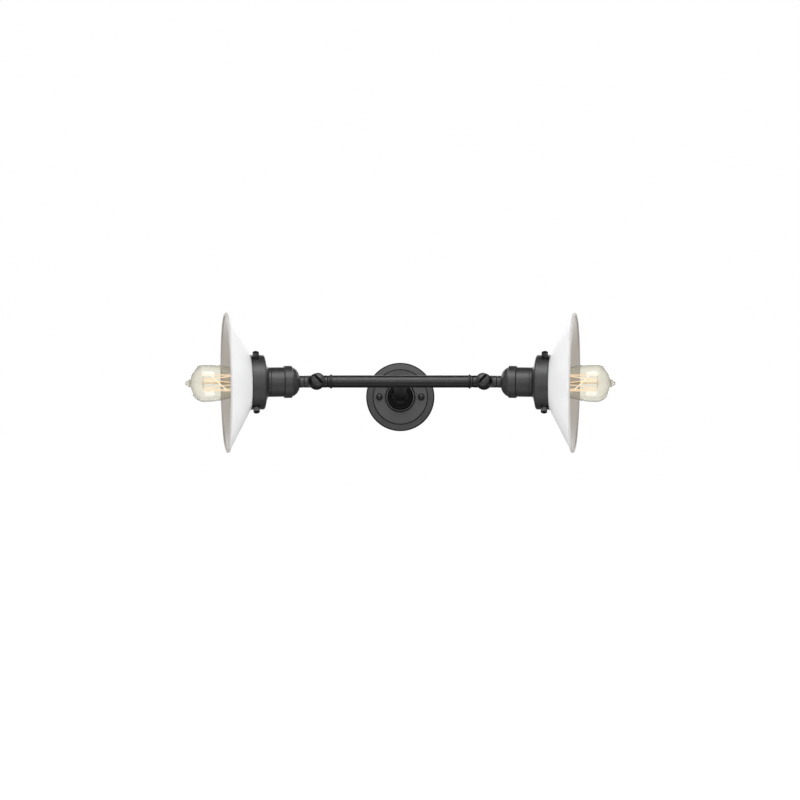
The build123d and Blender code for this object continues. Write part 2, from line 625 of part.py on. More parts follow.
def shade():
    lean = tan(radians(SHADE_ANGLE))
    through = SHADE_GLASS / cos(radians(SHADE_ANGLE))
    mouth_r = HOLDER_R + HOLDER_FLARE
    mouth = HOLDER_MOUTH + SHADE_MOUTH_GAP
    bead_r = SHADE_BEAD / 2
    rim_r = SHADE_DIAMETER / 2 - bead_r
    inner_r = SHADE_NECK_R - SHADE_GLASS
    bend = mouth + (SHADE_NECK_R - mouth_r) * lean
    inner_bend = mouth + (inner_r - mouth_r) * lean + through
    rim = mouth + (rim_r - mouth_r) * lean
    lip_r = (SHADE_GLASS + SHADE_LIP) / 2
    top = SHELL_END + HOLDER_BACK_LENGTH + HOLDER_WALL + SHADE_TOP_GAP + lip_r
    glass = outline((top, inner_r), (top, SHADE_NECK_R), (bend, SHADE_NECK_R), (rim, rim_r),
                    (rim + through, rim_r), (inner_bend, inner_r))
    glass = rounded(glass, SHADE_BEND, (bend, SHADE_NECK_R))
    glass = rounded(glass, SHADE_BEND + SHADE_GLASS, (inner_bend, inner_r))
    glass += Pos(rim + through / 2, rim_r) * Circle(bead_r)
    glass += Pos(top, SHADE_NECK_R + SHADE_LIP - lip_r) * Circle(lip_r)
    return turned(glass)


# Lamp, right side
def bulb_outline(inset):
    """Half outline of the bulb's body without its tip, drawn inside the glass by an inset."""
    neck = BASE_END - BULB_GRIP
    neck_r = LAMP_BASE_DIAMETER / 2 - LAMP_BASE_WALL - BULB_NECK_FIT - inset
    belly_r = BULB_DIAMETER / 2 - inset
    shoulder = (BELLY - BULB_SHOULDER[0], BULB_SHOULDER[1] - inset)
    waist = (BELLY - BULB_WAIST[0], BULB_WAIST[1] - inset)
    skirt = (BASE_END, neck_r)
    flank = Spline(skirt, shoulder, waist, (BELLY, belly_r), tangents=((1, 0), (1, 0)))
    crown = EllipticalCenterArc((BELLY, 0), BULB_CROWN - inset, belly_r, arc_size=90)
    sides = Polyline((BELLY + BULB_CROWN - inset, 0), (neck, 0), (neck, neck_r), skirt)
    return make_face(flank + crown + sides)


def bulb_glass():
    root = BELLY + BULB_CROWN - BULB_GLASS
    tip_r = TIP_DIAMETER / 2
    point_r = TIP_POINT / 2
    foot = (root, tip_r)
    point = (LAMP_END - point_r, point_r)
    middle = ((root + point[0]) / 2, (tip_r + point_r) / 2 - TIP_CURVE)
    inside = root - TIP_BLEND
    sides = Polyline((LAMP_END, 0), (inside, 0), (inside, tip_r), foot)
    tip = make_face(sides + ThreePointArc(foot, middle, point) + Line(point, (LAMP_END, 0)))
    room_r = tip_r - TIP_WALL
    room = outline((inside, 0), (inside, room_r), (root, room_r), (LAMP_END - TIP_SOLID, 0))
    return turned(bulb_outline(0) + tip) - turned(bulb_outline(BULB_GLASS) + room)


def bulb_base():
    radius = LAMP_BASE_DIAMETER / 2
    inner = radius - LAMP_BASE_WALL
    hole = LAMP_BASE_HOLE / 2
    floor = BASE_START + LAMP_BASE_WALL
    return turned(outline((BASE_START, hole), (BASE_START, radius - EDGE_BREAK),
                          (BASE_START + EDGE_BREAK, radius), (BASE_END, radius), (BASE_END, inner),
                          (floor, inner), (floor, hole)))


def bulb_insulator():
    start = LAMP_START + LAMP_CONTACT_HEIGHT
    pin = LAMP_PIN / 2 + SEAT_FIT
    return turned(outline((start, pin), (start, LAMP_CONTACT_DIAMETER / 2),
                          (BASE_START, LAMP_INSULATOR_DIAMETER / 2), (BASE_START, pin)))


def bulb_contact():
    start = LAMP_START + LAMP_CONTACT_HEIGHT
    button = tube(LAMP_START, start, LAMP_CONTACT_DIAMETER / 2)
    return button + tube(start, BASE_START, LAMP_PIN / 2)


def hook_points():
    """Places where the filament turns, from one end of it to the other."""
    points = []
    for number in range(STRANDS + 1):
        front = number % 2
        along = BELLY + FRONT_HOOKS if front else BELLY - BACK_HOOKS
        radius = (FRONT_HOOKS_DIAMETER if front else BACK_HOOKS_DIAMETER) / 2
        points.append(around(along, radius, number * STRAND_STEP))
    return points


def filament():
    points = hook_points()
    wire = Part() + [rod(start, end, WIRE) for start, end in zip(points, points[1:])]
    return wire + [Pos(*point) * Sphere(WIRE / 2) for point in points]


def filament_mount():
    flare = BASE_END - BULB_GRIP
    flare_r = LAMP_BASE_DIAMETER / 2 - LAMP_BASE_WALL - 2 * BULB_NECK_FIT - BULB_GLASS
    press = flare + FLARE_EDGE + FLARE_LENGTH
    press_r = PRESS_DIAMETER / 2
    button = BELLY + FRONT_HOOKS
    mount = turned(outline((flare, 0), (flare, flare_r), (flare + FLARE_EDGE, flare_r), (press, press_r),
                           (press + PRESS_LENGTH, press_r), (press + PRESS_LENGTH, 0)))
    mount += tube(press, button, ROD_DIAMETER / 2)
    mount += tube(button - BUTTON_LENGTH / 2, button + BUTTON_LENGTH / 2, BUTTON_DIAMETER / 2)
    for number, point in enumerate(hook_points()):
        front = number % 2
        angle = number * STRAND_STEP
        foot = around(button if front else press + PRESS_LENGTH / 2, ROD_DIAMETER / 2, angle)
        reach = Vector(*point) - Vector(*foot)
        end = Vector(*point) - reach.normalized() * (WIRE / 2 + HOOK_GAP)
        mount += rod(foot, (end.X, end.Y, end.Z), HOOK_WIRE)
    return mount


def write(name, solid):
    export_step(solid, os.path.join("parts", name + ".step"))


FIXED = [wall_plate, mounting_strap, plate_screws, earth_screw, hub_collar, hub_dome, hub_nipple,
         hub_locknut, stem, cross_bar]
BAR_ENDS = [bar_coupling, swivel_fork, swivel_screw, swivel_nut, swivel_washers]
HEADS = [swivel_tongue, neck_collar, socket_cap, cap_locknut, socket_shell, socket_core, screw_shell,
         centre_contact, shade_holder, holder_ring, thumbscrews, shade, bulb_glass, bulb_base,
         bulb_insulator, bulb_contact, filament, filament_mount]

os.makedirs("parts", exist_ok=True)
for piece in FIXED:
    write(piece.__name__, piece())
for piece in BAR_ENDS + HEADS:
    right = head_line * piece() if piece in HEADS else piece()
    write("right_" + piece.__name__, right)
    write("left_" + piece.__name__, mirror(right, about=Plane.YZ))
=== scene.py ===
# %% [markdown]
# # A two-light swivel vanity light
# The solids of this wall light come finished from CAD, with their real sizes and joints, so nothing
# here moves them. The lesson adds what the eye wants: a camera, studio light, a finish for every piece,
# and mesh work where a plain solid would look like a stand-in.

# %% Load the frame
import json
import math

import bmesh
import bpy
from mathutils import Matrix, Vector
from mathutils.geometry import interpolate_bezier


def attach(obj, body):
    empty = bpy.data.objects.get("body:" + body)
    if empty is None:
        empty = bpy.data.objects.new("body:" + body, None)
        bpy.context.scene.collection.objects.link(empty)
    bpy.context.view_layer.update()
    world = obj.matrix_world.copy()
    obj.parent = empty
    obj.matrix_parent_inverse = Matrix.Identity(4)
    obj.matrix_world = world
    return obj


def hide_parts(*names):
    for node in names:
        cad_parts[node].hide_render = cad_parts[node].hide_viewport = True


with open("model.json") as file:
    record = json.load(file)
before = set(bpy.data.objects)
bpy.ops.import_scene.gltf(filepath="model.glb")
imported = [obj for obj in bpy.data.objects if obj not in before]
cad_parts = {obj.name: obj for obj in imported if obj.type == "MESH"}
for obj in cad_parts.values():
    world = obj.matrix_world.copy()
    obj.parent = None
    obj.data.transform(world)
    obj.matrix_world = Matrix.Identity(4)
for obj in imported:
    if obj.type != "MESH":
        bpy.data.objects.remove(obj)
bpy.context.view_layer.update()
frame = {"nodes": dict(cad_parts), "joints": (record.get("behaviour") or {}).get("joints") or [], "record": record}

nodes = frame["nodes"]

# %% [markdown]
# ## The camera
# The wall plate's circle shows as a true circle, so the camera stood square in front of it. A long lens
# from a few metres away gives the small difference in scale between the plate and the bar that stands
# in front of it. We measure the distance from the bar, because the bar and the heads fill the picture.

# %% Place the camera
BAR_PLANE = frame["joints"][0]["pos_m"][1]
CAMERA_DISTANCE = 3.55
FIELD_AT_BAR = 1.288
CAMERA_X = -0.0005
CAMERA_Z = -0.005

lens = bpy.data.cameras.new("front_camera")
lens.sensor_width = 36.0
lens.lens = lens.sensor_width * CAMERA_DISTANCE / FIELD_AT_BAR
camera = bpy.data.objects.new("front_camera", lens)
camera.location = (CAMERA_X, BAR_PLANE - CAMERA_DISTANCE, CAMERA_Z)
camera.rotation_euler = (math.radians(90), 0, 0)
bpy.context.collection.objects.link(camera)
bpy.context.scene.camera = camera
print("camera", CAMERA_DISTANCE, "m from the bar with a", round(lens.lens, 1), "mm lens")

# %% [markdown]
# ## Writing shaders as sums
# A node tree is hard to read as a list of links. Here one small class wraps a socket, so that sums on it
# read like Python and add the Math nodes by themselves. Colours are mixed, never added as numbers,
# because a Math node would turn them grey.


# %% A socket that can be used in sums
class Wire:
    """An output socket of a finish. Sums on it add Math nodes to the same finish."""

    def __init__(self, finish, socket):
        self.finish = finish
        self.socket = socket

    def sum(self, operation, first, second):
        return self.finish.node("Math", {"operation": operation}, {0: first, 1: second})

    def __add__(self, other):
        return self.sum("ADD", self, other)

    def __radd__(self, other):
        return self.sum("ADD", other, self)

    def __sub__(self, other):
        return self.sum("SUBTRACT", self, other)

    def __rsub__(self, other):
        return self.sum("SUBTRACT", other, self)

    def __mul__(self, other):
        return self.sum("MULTIPLY", self, other)

    def __rmul__(self, other):
        return self.sum("MULTIPLY", other, self)


print("sockets can be used in sums")

# %% [markdown]
# ## A finish collects nodes
# A material and the world are both node trees, so one class serves for both. Its first method adds any
# node. The others are the few things that every finish of this light needs: soft random spots in real
# metres, a mix of two colours, a value stretched or narrowed, and a bump of real depth.


# %% A finish that collects nodes
class Finish:
    """A node tree in the making, of a material or of the world."""

    def __init__(self, owner):
        owner.use_nodes = True
        self.owner = owner
        self.tree = owner.node_tree
        self.tree.nodes.clear()

    def node(self, kind, settings=None, sockets=None, output=0):
        """Adds a node, sets it up, fills or links its sockets and gives back one of its outputs."""
        made = self.tree.nodes.new("ShaderNode" + kind)
        for name, value in (settings or {}).items():
            setattr(made, name, value)
        for name, value in (sockets or {}).items():
            if isinstance(value, Wire):
                self.tree.links.new(value.socket, made.inputs[name])
            else:
                made.inputs[name].default_value = value
        return Wire(self, made.outputs[output]) if made.outputs else None

    def place(self):
        """Coordinates in metres that ride with the piece."""
        return self.node("TexCoord", output="Object")

    def along(self, vector, axis):
        """One of the three numbers of a vector."""
        return self.node("SeparateXYZ", sockets={0: vector}, output=axis)

    def facing(self, axis):
        """How far the surface looks along one of the piece's own axes, from -1 to 1."""
        return self.along(self.node("TexCoord", output="Normal"), axis)

    def noise(self, size, detail=2.0, roughness=0.5):
        """Soft random spots of about the given size in metres, from 0 to 1."""
        spots = {"Vector": self.place(), "Scale": 1.0 / size, "Detail": detail, "Roughness": roughness}
        return self.node("TexNoise", sockets=spots)

    def mix(self, share, first, second):
        """A colour between two colours."""
        return self.node("Mix", {"data_type": "RGBA"}, {0: share, 6: first, 7: second}, output=2)

    def between(self, value, start, end):
        """How far a value has come from start to end, from 0 to 1."""
        return self.node("MapRange", sockets={"Value": value, 1: start, 2: end})

    def spread(self, value, low, high):
        """The 0 to 1 value stretched over low to high."""
        return value * (high - low) + low

    def bump(self, height, depth, strength=1.0, normal=None):
        """A surface normal that follows a height from 0 to 1 over a depth in metres."""
        sockets = {"Height": height, "Distance": depth, "Strength": strength}
        if normal:
            sockets["Normal"] = normal
        return self.node("Bump", sockets=sockets)

    def surface(self, **sockets):
        """Ends a material with one shader; names are written with underscores."""
        filled = {name.replace("_", " "): value for name, value in sockets.items()}
        shader = self.node("BsdfPrincipled", sockets=filled)
        self.node("OutputMaterial", sockets={"Surface": shader})
        return self.owner


def grey(level, warm=0.0):
    """A linear colour near grey; warm moves red up and blue down."""
    return (level * (1 + warm), level, level * (1 - warm), 1.0)


finishes = {}


def finish_for(look):
    """Starts a finish and keeps its material under the name of the look."""
    material = bpy.data.materials.new(look + "_finish")
    finishes[look] = material
    return Finish(material)


print("shader helpers ready")

# %% [markdown]
# ## Charcoal metal
# Every turned metal piece has the same matte charcoal coat. A coat like that has a fine orange-peel
# grain, patches that are a little smoother from handling, and rubbed edges where the metal is bare.
# The Bevel shader node finds the edges: it gives the normal that a rounded edge would have, and where
# that differs from the true normal we are on an edge. The Ambient Occlusion node finds the opposite, the
# slots and grooves that little light gets into, and there shade is painted into the base colour. The plate
# also gets painted shade on the faces that turn away from the room.

# %% Find edges and grooves
EDGE_ROUND = 0.0005
EDGE_MATCH = (0.995, 0.86)
GROOVE_REACH = 0.006
GROOVE_SKY = (0.80, 0.35)


def edge_mask(finish):
    """One on sharp edges, zero on open faces; also gives the rounded normal."""
    soft = finish.node("Bevel", {"samples": 6}, {"Radius": EDGE_ROUND})
    flat = finish.node("NewGeometry", output="Normal")
    match = finish.node("VectorMath", {"operation": "DOT_PRODUCT"}, {0: soft, 1: flat}, output="Value")
    return finish.between(match, *EDGE_MATCH), soft


def painted_groove_shade(finish):
    """Zero on open faces, one deep in slots and grooves, where shade is painted."""
    sky = finish.node("AmbientOcclusion", {"samples": 8}, {"Distance": GROOVE_REACH}, output="AO")
    return finish.between(sky, *GROOVE_SKY)


print("edges found within", EDGE_ROUND * 1000, "mm and grooves within", GROOVE_REACH * 1000, "mm")

# %% Charcoal coat
HANDLED_PATCH = 0.022
ORANGE_PEEL = 0.0007
PEEL_DEPTH = 0.00004
# Dark colour painted as shade on faces that turn away from the room
PAINTED_SIDE_SHADE = grey(0.015)
SIDE_TURN = (1.0, 0.64)
# Dark colour painted as shade in slots and grooves
PAINTED_GROOVE_SHADE = grey(0.006)


def charcoal(look, dark, worn, rough, metallic, side_shade=0.0):
    """A charcoal coat. The last argument paints shade on the faces that turn away from the room."""
    finish = finish_for(look)
    patches = finish.noise(HANDLED_PATCH, detail=4.0)
    grain = finish.noise(ORANGE_PEEL, detail=1.0)
    edge, soft = edge_mask(finish)
    rubbed = edge * finish.spread(patches, 0.1, 0.9)
    body = finish.mix(patches, grey(dark), grey(1.25 * dark))
    # Painted shade: faces that turn away from the room get a darker base colour
    if side_shade:
        roomward = finish.facing("Y")
        turned = finish.between(roomward * roomward, *SIDE_TURN)
        body = finish.mix(turned * side_shade, body, PAINTED_SIDE_SHADE)
    # Painted shade darkens the base colour in slots and grooves
    return finish.surface(
        Base_Color=finish.mix(painted_groove_shade(finish), finish.mix(rubbed, body, grey(worn)), PAINTED_GROOVE_SHADE),
        Metallic=metallic,
        Roughness=finish.spread(patches, rough - 0.05, rough + 0.07) - rubbed * 0.08,
        Normal=finish.bump(grain, PEEL_DEPTH, 0.35, soft))


charcoal("charcoal_metal", dark=0.100, worn=0.20, rough=0.43, metallic=0.95)
# The plate gets painted shade on the faces that turn away from the room
charcoal("charcoal_plate", dark=0.135, worn=0.30, rough=0.56, metallic=0.75, side_shade=0.95)
charcoal("charcoal_cast", dark=0.105, worn=0.24, rough=0.46, metallic=0.80)
charcoal("black_screws", dark=0.09, worn=0.20, rough=0.26, metallic=0.9)
print(len(finishes), "charcoal coats made")

# %% [markdown]
# ## Glossy hub
# The dome that carries the stem is black enamel. It is so smooth that what shows is mostly the studio
# light in it, so its gloss matters more than its colour. A slow ripple keeps the reflection from looking
# like a mirror ball.

# %% Black enamel
ENAMEL_RIPPLE = 0.009
RIPPLE_DEPTH = 0.0002
ENAMEL_SPECK = 0.0016


def enamel(look):
    """Black enamel with a slow ripple."""
    finish = finish_for(look)
    ripple = finish.noise(ENAMEL_RIPPLE, detail=2.0)
    specks = finish.noise(ENAMEL_SPECK, detail=1.0)
    return finish.surface(
        Base_Color=finish.mix(ripple, grey(0.004), grey(0.009)),
        Roughness=finish.spread(specks, 0.24, 0.34),
        Specular_IOR_Level=0.34,
        Normal=finish.bump(ripple, RIPPLE_DEPTH, 0.2))


enamel("black_hub")
print("hub enamel made")

# %% [markdown]
# ## Opal glass
# The shades are pressed opal glass, white and satin smooth. The inner face gets painted shade and a painted
# warm glow from the lamp: a darker cream colour. To know the inner face we use the object's own normal: on
# both heads the inner face looks away from the middle of the bar, so its normal has the same sign in X as
# its place. The rolled rim is the part that looks along neither way. It gets painted shade, a greyer colour.

# %% Opal glass
GLASS_CLOUD = 0.05
PRESS_WAVE = 0.035
PRESS_WAVE_DEPTH = 0.0008
OUTER_OPAL = ((0.85, 0.855, 0.86, 1.0), (0.89, 0.89, 0.89, 1.0))
# Darker cream painted on the inner face as shade and warm lamp glow
PAINTED_SHADE_INNER_OPAL = ((0.79, 0.725, 0.655, 1.0), (0.84, 0.775, 0.71, 1.0))
# Grey painted on the rolled rim as shade
PAINTED_SHADE_RIM_OPAL = (0.62, 0.61, 0.60, 1.0)


def opal(look):
    """White pressed glass with painted shade and lamp glow on its inner face and painted shade on its rim."""
    finish = finish_for(look)
    cloud = finish.noise(GLASS_CLOUD, detail=3.0)
    waves = finish.noise(PRESS_WAVE, detail=1.0)
    sideways = finish.facing("X")
    # Share of painted shade and lamp glow on the inner face
    inner = finish.between(sideways * finish.along(finish.place(), "X"), 0.05, 0.15)
    # Share of painted shade on the rim
    rim_shade = finish.between(sideways * sideways, 0.64, 0.24)
    wall = finish.mix(inner, finish.mix(cloud, *OUTER_OPAL), finish.mix(cloud, *PAINTED_SHADE_INNER_OPAL))
    return finish.surface(
        Base_Color=finish.mix(rim_shade, wall, PAINTED_SHADE_RIM_OPAL),
        Roughness=finish.spread(cloud, 0.40, 0.50),
        IOR=1.4,
        Normal=finish.bump(waves, PRESS_WAVE_DEPTH, 0.10))


opal("opal_glass")
print("opal glass made")

# %% [markdown]
# ## Lamp glass
# The bulbs are clear glass with an amber cast, as old-style filament lamps have. Near its outline the glass
# is coloured darker: partly for the longer path through the wall, and partly as painted shade for the dark
# room that the edge reflects. A Layer Weight node knows how far a face is turned away, and moves the tint
# from pale amber to that painted edge shade. The mount that holds the wire is glass too, thicker and
# browner from the heat.

# %% Lamp glass
BLOWN_WAVE = 0.02
CLEAR_AMBER = ((0.915, 0.902, 0.838, 1.0), (0.895, 0.882, 0.812, 1.0))
# Dark tint along the outline: partly the longer path through the wall, partly painted shade
CLEAR_EDGE_SHADE = (0.40, 0.40, 0.36, 1.0)
MOUNT_AMBER = ((0.80, 0.68, 0.52, 1.0), (0.72, 0.58, 0.42, 1.0))
# Dark tint along the outline of the mount, partly painted shade
MOUNT_EDGE_SHADE = (0.40, 0.28, 0.18, 1.0)


def lamp_glass(look, amber, edge_shade, bending):
    """Clear tinted glass with painted shade along its outline; bending is its index of refraction."""
    finish = finish_for(look)
    waves = finish.noise(BLOWN_WAVE, detail=1.0)
    turned = finish.node("LayerWeight", sockets={"Blend": 0.5}, output="Facing")
    return finish.surface(
        # The outline tint is painted shade, partly the longer path through the wall
        Base_Color=finish.mix(finish.between(turned, 0.30, 1.0), finish.mix(waves, *amber), edge_shade),
        Roughness=0.0,
        IOR=bending,
        Transmission_Weight=1.0,
        Coat_Weight=0.8)


lamp_glass("lamp_glass", CLEAR_AMBER, CLEAR_EDGE_SHADE, bending=1.25)
lamp_glass("mount_glass", MOUNT_AMBER, MOUNT_EDGE_SHADE, bending=1.45)
print("lamp glass made")

# %% [markdown]
# ## Small metals, porcelain and the glowing wire
# What is left is mostly hidden: zinc-plated strap and nuts, brass in the lamp holder, a porcelain core.
# Each still gets its own grain, because the light is looked at from behind and from inside too. The wire
# glows a little unevenly along its length, as a long filament does.

# %% Zinc and brass
PLATING_PATCH = 0.006
PLATING_SCRATCH = 0.0009
SCRATCH_DEPTH = 0.00003


def plated(look, low, high, rough):
    """Plated metal in faint patches, smoother along its edges."""
    finish = finish_for(look)
    patches = finish.noise(PLATING_PATCH, detail=4.0)
    scratches = finish.noise(PLATING_SCRATCH, detail=2.0)
    edge, soft = edge_mask(finish)
    return finish.surface(
        Base_Color=finish.mix(patches, low, high),
        Metallic=1.0,
        Roughness=finish.spread(patches, rough - 0.06, rough + 0.08) - edge * 0.08,
        Normal=finish.bump(scratches, SCRATCH_DEPTH, 0.3, soft))


plated("zinc_steel", grey(0.42), grey(0.56), rough=0.36)
plated("brass", (0.52, 0.36, 0.13, 1.0), (0.68, 0.48, 0.2, 1.0), rough=0.3)
print("zinc and brass made")

# %% Porcelain, insulator and filament
GLAZE_CLOUD = 0.012
GLAZE_DEPTH = 0.0003
HEAT_SPOT = 0.012


def glazed(look, low, high):
    """Fired clay or glass paste under a clear glaze."""
    finish = finish_for(look)
    cloud = finish.noise(GLAZE_CLOUD, detail=3.0)
    return finish.surface(
        Base_Color=finish.mix(cloud, low, high),
        Roughness=finish.spread(cloud, 0.12, 0.24),
        Coat_Weight=0.5,
        Normal=finish.bump(cloud, GLAZE_DEPTH, 0.15))


def glowing(look, low, high, strength):
    """Hot wire that glows between two colours."""
    finish = finish_for(look)
    heat = finish.noise(HEAT_SPOT, detail=1.0)
    return finish.surface(
        Base_Color=finish.mix(heat, (0.25, 0.14, 0.06, 1.0), (0.32, 0.2, 0.1, 1.0)),
        Roughness=finish.spread(heat, 0.4, 0.55),
        Emission_Color=finish.mix(heat, low, high),
        Emission_Strength=strength)


glazed("porcelain", grey(0.72, warm=0.02), grey(0.8, warm=0.02))
glazed("black_insulator", grey(0.012), grey(0.02))
glowing("filament_wire", (1.0, 0.66, 0.44, 1.0), (1.0, 0.90, 0.70, 1.0), strength=1.05)
glowing("bright_wire", (1.0, 0.92, 0.70, 1.0), (1.0, 0.97, 0.84, 1.0), strength=1.22)
print(len(finishes), "finishes made")

# %% [markdown]
# ## A finish for each solid
# The record names a material slot for every solid, and most solids take the finish of that name. A few
# get a look of their own: the flat plate catches the light in another way than the round bar, and the
# cast pieces of the heads are a little rougher than drawn tube. The two sides always match.

# %% Put each finish on its CAD nodes
OWN_LOOKS = {
    "wall_plate": "charcoal_plate",
    "hub_collar": "charcoal_plate",
    "shade_holder": "charcoal_cast",
    "socket_shell": "charcoal_cast",
    "socket_cap": "charcoal_cast",
    "neck_collar": "charcoal_cast",
    "swivel_tongue": "charcoal_cast",
    "swivel_screw": "charcoal_cast",
    "filament_mount": "mount_glass",
}

slot_of = {entry["node"]: entry["material_slot"] for entry in frame["record"]["subparts"]}
for name, piece in nodes.items():
    kind = name.removeprefix("right_").removeprefix("left_")
    piece.data.materials.clear()
    piece.data.materials.append(finishes[OWN_LOOKS.get(kind, slot_of[name])])
print("finishes on", len(slot_of), "nodes")

# %% [markdown]
# ## Blown bulbs
# Clear glass shows every facet of its mesh, because each one bends the light its own way. So the two bulbs
# are made again as a fine lathe: a half outline in the plane, spun round the head's axis. A glass blower
# does the same with a gather of glass on a turning pipe. The outline runs from the sealed tip down the
# outside, turns at the neck and comes back up the inside, so the wall is as thick as real glass.

# %% Half outline of a bulb
# Distances back from the tip, or pairs of such a distance and a radius, in metres
TIP_ROUND = 0.0012
TIP_FOOT = (0.0086, 0.0100)
TIP_WAIST = (0.0006, -0.0008)
TIP_HOLLOW = 0.0030
TIP_WALL = 0.0013
BELLY = (0.0315, 0.0303)
BELLY_RUN = 0.028
CROWN = 0.0243
WAIST = (0.0595, 0.0279)
SHOULDER = (0.0925, 0.0198)
SKIRT = (0.1172, 0.0122)
SKIRT_RUN = 0.025
NECK_END = 0.1232
GLASS_WALL = 0.0009


def tip_line(steps=8):
    """The drawn-out tip, from its round point to its foot, a little hollow along its side."""
    point = Vector((TIP_ROUND, TIP_ROUND, 0))
    foot = Vector((*TIP_FOOT, 0))
    pull = (point + foot) / 2 + Vector((*TIP_WAIST, 0))
    nose = [(TIP_ROUND * (1 - math.cos(a)), TIP_ROUND * math.sin(a)) for a in (0, 0.4, 0.8, 1.2)]
    return nose + [(p.x, p.y) for p in interpolate_bezier(point, pull, pull, foot, steps)[:-1]]


def hollow_line(foot, steps=12):
    """The straight side of the hollow inside the tip."""
    shares = [step / steps for step in range(steps)]
    return [(TIP_HOLLOW + (foot[0] - TIP_HOLLOW) * share, foot[1] * share) for share in shares]


def crown_line(wall, foot_r, steps=32):
    """The elliptical crown from the foot of the tip to the belly."""
    start = math.asin(foot_r / (BELLY[1] - wall))
    angles = [start + (math.pi / 2 - start) * step / steps for step in range(steps + 1)]
    return [(BELLY[0] - (CROWN - wall) * math.cos(a), (BELLY[1] - wall) * math.sin(a)) for a in angles]


def flank_line(wall, steps=18):
    """A smooth curve from the belly through waist and shoulder to the skirt, level at both ends."""
    knots = [Vector((back, radius - wall, 0)) for back, radius in (BELLY, WAIST, SHOULDER, SKIRT)]
    slopes = [(after - before) / 2 for before, after in zip(knots, knots[2:])]
    slopes = [Vector((BELLY_RUN, 0, 0)), *slopes, Vector((SKIRT_RUN, 0, 0))]
    line = []
    for first, second, leave, arrive in zip(knots, knots[1:], slopes, slopes[1:]):
        line += interpolate_bezier(first, first + leave / 3, second - arrive / 3, second, steps)[1:]
    return [(point.x, point.y) for point in line]


outer = tip_line() + crown_line(0, TIP_FOOT[1]) + flank_line(0) + [(NECK_END, SKIRT[1])]
inner_crown = crown_line(GLASS_WALL, TIP_FOOT[1] - TIP_WALL)
inner = hollow_line(inner_crown[0]) + inner_crown + flank_line(GLASS_WALL)
inner += [(NECK_END, SKIRT[1] - GLASS_WALL)]
print("half outline with", len(outer) + len(inner), "points")

# %% Where the bulbs are, and how a mesh becomes a piece
heads = [(joint["name"].removesuffix("_swivel"), Vector(joint["pos_m"])) for joint in frame["joints"]]


def bulb_line(side, pivot):
    """The tip of a CAD bulb and the way from there to the swivel."""
    solid = nodes[side + "_bulb_glass"].data
    tip = max((vertex.co for vertex in solid.vertices), key=lambda place: (place - pivot).length)
    return tip.copy(), (pivot - tip).normalized()


def finished_piece(shell, name, look, body):
    """Makes a smooth piece of a mesh in the making, with its finish, on the body that it rides."""
    bmesh.ops.recalc_face_normals(shell, faces=shell.faces)
    for face in shell.faces:
        face.smooth = True
    mesh = bpy.data.meshes.new(name)
    shell.to_mesh(mesh)
    shell.free()
    piece = bpy.data.objects.new(name, mesh)
    bpy.context.collection.objects.link(piece)
    mesh.materials.append(finishes[look])
    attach(piece, body)
    return piece


print("heads:", ", ".join(side for side, _ in heads))

# %% Spin the bulbs
SPIN_STEPS = 112
WELD = 1e-6


def blown_bulb(side, pivot):
    """Spins the half outline round the line from the swivel to the tip of the CAD bulb."""
    tip, axis = bulb_line(side, pivot)
    across = axis.orthogonal().normalized()
    shell = bmesh.new()
    line = [shell.verts.new(tip + axis * back + across * radius) for back, radius in outer + inner[::-1]]
    edges = [shell.edges.new(pair) for pair in zip(line, line[1:])]
    bmesh.ops.spin(shell, geom=line + edges, cent=tip, axis=axis, angle=2 * math.pi, steps=SPIN_STEPS,
                   use_merge=True)
    bmesh.ops.remove_doubles(shell, verts=shell.verts, dist=WELD)
    bulb = finished_piece(shell, side + "_blown_bulb", "lamp_glass", side + "_head")
    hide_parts(side + "_bulb_glass")
    print(bulb.name, "has", len(bulb.data.polygons), "faces")
    return bulb


bulbs = [blown_bulb(side, pivot) for side, pivot in heads]

# %% [markdown]
# ## Crossing strands
# The wire cage in each lamp comes from CAD with straight strands between its hooks. One more strand shows
# on the real lamp: it leaves an upper strand on the room side, slants down across the cage and joins a
# lower one. A hot wire sags, so it is a curve and not a rod. Both its ends are moved onto the nearest
# strand, because a wire that stops in the air would show at once from the side.

# %% Find places on the cage
# Distances back from the tip and out from the head's axis, in metres, and degrees up from the room side
CROSSING_FROM = (0.0420, 0.0128, 74.0)
CROSSING_TO = (0.0670, 0.0131, -73.0)
STRAND_RADIUS = 0.0006
ROOMWARD = Vector((0, -1, 0))


def cage_point(side, pivot, back, out, turn):
    """A point in the middle of the strand that is nearest to a place in the cage."""
    tip, axis = bulb_line(side, pivot)
    room_side = (ROOMWARD - axis * axis.dot(ROOMWARD)).normalized()
    upward = axis.cross(room_side)
    upward *= math.copysign(1, upward.z)
    turn = math.radians(turn)
    place = tip + axis * back + (room_side * math.cos(turn) + upward * math.sin(turn)) * out
    _, near, normal, _ = nodes[side + "_filament"].closest_point_on_mesh(place)
    return near - normal * STRAND_RADIUS


ends = {side: (cage_point(side, pivot, *CROSSING_FROM), cage_point(side, pivot, *CROSSING_TO))
        for side, pivot in heads}
for side, (start, end) in ends.items():
    print(side, "strand crosses", round((end - start).length * 1000, 1), "mm")

# %% Bend a thin tube across each cage
CROSSING_RADIUS = 0.0007
CROSSING_SAG = Vector((0, 0, -0.0012))
CROSSING_STEPS = 24
CROSSING_SIDES = 10


